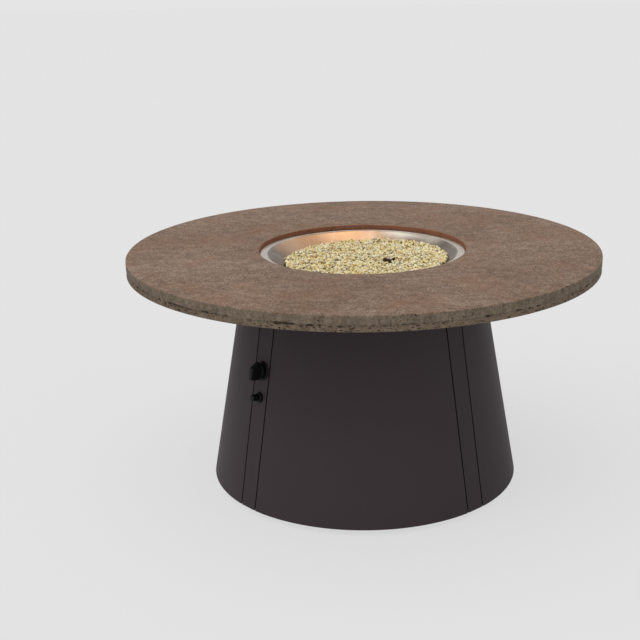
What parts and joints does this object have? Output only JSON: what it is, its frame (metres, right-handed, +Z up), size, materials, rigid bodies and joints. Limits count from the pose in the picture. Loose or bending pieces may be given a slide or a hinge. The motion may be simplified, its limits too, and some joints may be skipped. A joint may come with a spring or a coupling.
{
  "type": "gas fire pit table",
  "caption": "Round gas fire pit table: cast stone top with a sunken stainless burner bowl and fire glass on a conical steel base with a control post.",
  "frame": {"origin": "centre of the footprint on the ground, under the middle of the round top", "axes": "+Z up, -Y towards the front panel, +X to the right seen from the front; the control post stands at the front left"},
  "size_m": [1.2192, 1.2192, 0.6223],
  "materials": {
    "stone": "cast stone, honed, mottled taupe brown with fine pits",
    "powder_coat": "satin dark charcoal-brown powder coat",
    "frame_steel": "black powder-coated mild steel",
    "zinc_steel": "zinc plated",
    "stainless": "spun stainless steel, brushed",
    "burner_cast": "cast iron",
    "brass": "machined brass",
    "tube_aluminium": "drawn tube",
    "valve_aluminium": "die cast",
    "black_plastic": "black moulded heat-resistant plastic",
    "foot_plastic": "black nylon foot with steel stud",
    "rubber": "black rubber",
    "magnet": "ferrite magnet",
    "hood_steel": "heat-browned stainless steel",
    "white_ceramic": "glazed insulator",
    "thermocouple_copper": "copper",
    "lead_rubber": "black silicone high-voltage lead",
    "fire_glass": "pale champagne tempered glass crumbs"
  },
  "bodies": {
    "table": {"stone_top": "stone", "stone_pads": "rubber", "top_ring": "frame_steel", "base_ring": "frame_steel", "frame_bolts": "zinc_steel", "front_left_post": "powder_coat", "front_right_post": "powder_coat", "rear_right_post": "powder_coat", "rear_left_post": "powder_coat", "front_panel": "powder_coat", "right_panel": "powder_coat", "left_panel": "powder_coat", "panel_screws": "zinc_steel", "bracket_screws": "zinc_steel", "magnet_catches": "magnet", "foot_nuts": "zinc_steel", "burner_bowl": "stainless", "burner_ring": "stainless", "burner_locknut": "stainless", "air_mixer": "burner_cast", "gas_elbow": "brass", "gas_tube": "tube_aluminium", "flare_nuts": "brass", "gas_valve": "valve_aluminium", "valve_bracket": "frame_steel", "valve_nut": "zinc_steel", "gas_inlet_fitting": "brass", "knob_bezel": "black_plastic", "igniter_body": "black_plastic", "igniter_nut": "zinc_steel", "pilot_bracket": "hood_steel", "spark_electrode": "white_ceramic", "thermocouple": "thermocouple_copper", "spark_lead": "lead_rubber", "thermocouple_lead": "thermocouple_copper", "fire_glass": "fire_glass"},
    "access_door": {"access_door": "powder_coat"},
    "valve_plunger": {"valve_plunger": "zinc_steel"},
    "control_knob": {"control_knob": "black_plastic", "valve_stem": "zinc_steel"},
    "igniter_button": {"igniter_button": "black_plastic"},
    "front_left_foot": {"front_left_foot": "foot_plastic"},
    "front_right_foot": {"front_right_foot": "foot_plastic"},
    "rear_right_foot": {"rear_right_foot": "foot_plastic"},
    "rear_left_foot": {"rear_left_foot": "foot_plastic"}
  },
  "joints": [
    {"name": "door_pull", "type": "slide", "parent": "table", "child": "access_door", "axis": [0, 1, 0], "range_m": [0, 0.35]},
    {"name": "valve_push", "type": "slide", "parent": "table", "child": "valve_plunger", "axis": [0.6965, 0.6965, -0.1723], "range_m": [0, 0.003], "stiffness_N_per_m": 600, "springref_m": -0.003},
    {"name": "knob_turn", "type": "hinge", "parent": "valve_plunger", "child": "control_knob", "pos_m": [-0.24313, -0.24313, 0.3682], "axis": [-0.6965, -0.6965, 0.1723], "range_deg": [0, 180]},
    {"name": "igniter_press", "type": "slide", "parent": "table", "child": "igniter_button", "axis": [0.6965, 0.6965, -0.1723], "range_m": [0, 0.008], "stiffness_N_per_m": 400, "springref_m": -0.004},
    {"name": "front_left_foot_screw", "type": "slide", "parent": "table", "child": "front_left_foot", "axis": [0, 0, -1], "range_m": [0, 0.012]},
    {"name": "front_right_foot_screw", "type": "slide", "parent": "table", "child": "front_right_foot", "axis": [0, 0, -1], "range_m": [0, 0.012]},
    {"name": "rear_right_foot_screw", "type": "slide", "parent": "table", "child": "rear_right_foot", "axis": [0, 0, -1], "range_m": [0, 0.012]},
    {"name": "rear_left_foot_screw", "type": "slide", "parent": "table", "child": "rear_left_foot", "axis": [0, 0, -1], "range_m": [0, 0.012]}
  ]
}
